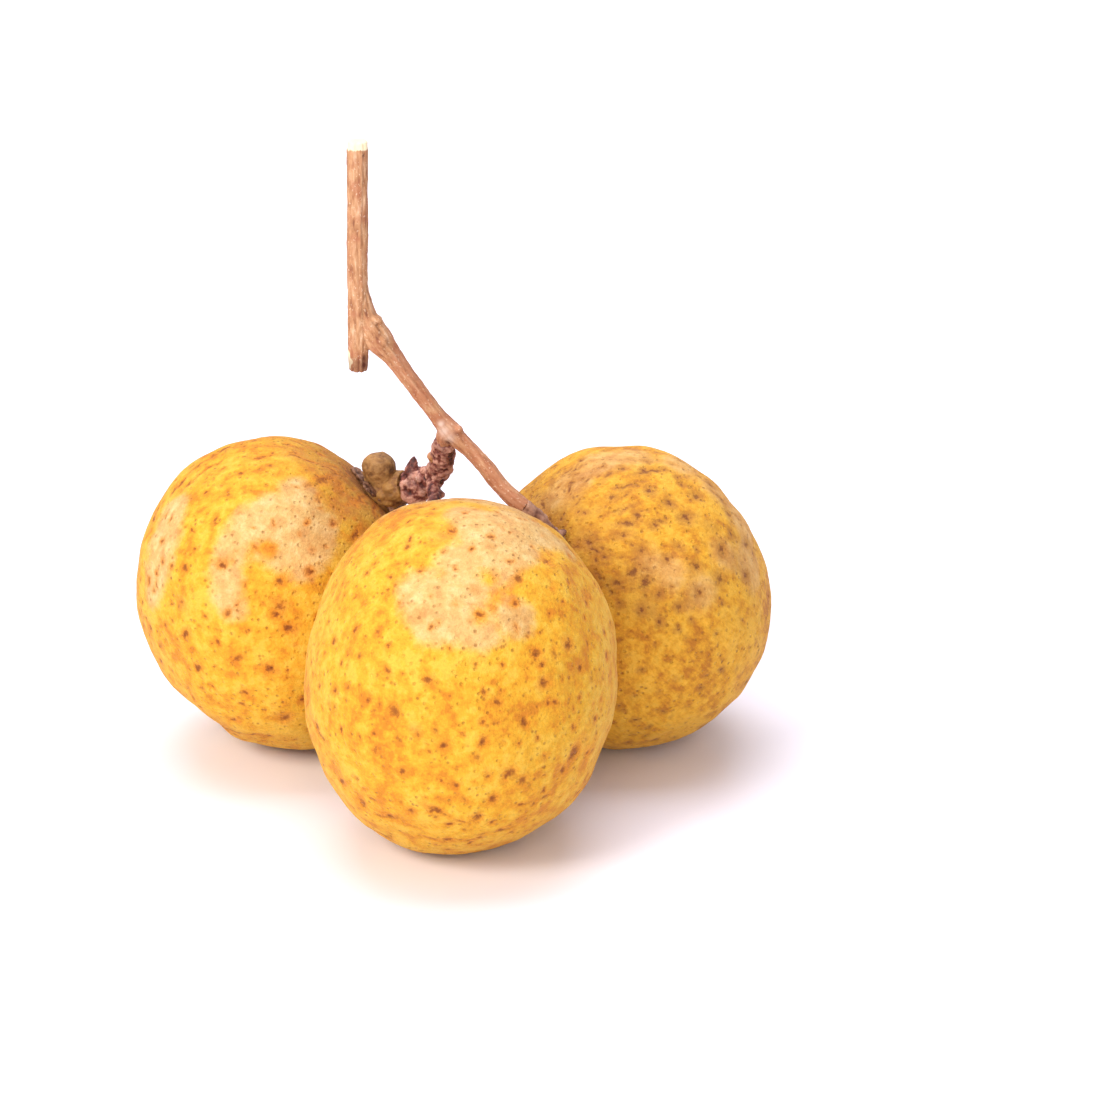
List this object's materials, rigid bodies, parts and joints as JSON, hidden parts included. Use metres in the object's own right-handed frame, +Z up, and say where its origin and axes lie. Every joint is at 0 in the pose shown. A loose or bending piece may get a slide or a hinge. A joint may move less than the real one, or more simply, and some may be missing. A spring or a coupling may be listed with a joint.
{
  "type": "longan bunch",
  "caption": "Bunch of whole longans on one picked twig: round, thin-rinded golden fruits, a cut stem with a slanting branch and a short scaly spur, lying on a surface.",
  "frame": {"origin": "on the surface that the bunch lies on, under the middle of the bunch's box", "axes": "+X to the right as seen in the picture, +Y away from the viewer, +Z up"},
  "size_m": [0.0549, 0.0491, 0.0559],
  "materials": {
    "golden_rind": "matt velvety rind with brown specks",
    "olive_rind": "matt olive-gold rind with brown dimples",
    "twig_bark": "dry tan bark",
    "spur_bark": "dark scaly bark",
    "neck": "matt olive-brown skin",
    "fruitlet": "rough brown skin",
    "dry_calyx": "dry papery brown"
  },
  "bodies": {
    "root": {"front_fruit": "golden_rind", "left_fruit": "golden_rind", "right_fruit": "olive_rind", "fruiting_twig": "twig_bark", "scaly_spur": "spur_bark", "left_neck": "neck", "fruitlet": "fruitlet", "left_calyx": "dry_calyx", "right_calyx": "dry_calyx", "front_calyx": "dry_calyx"}
  },
  "joints": []
}
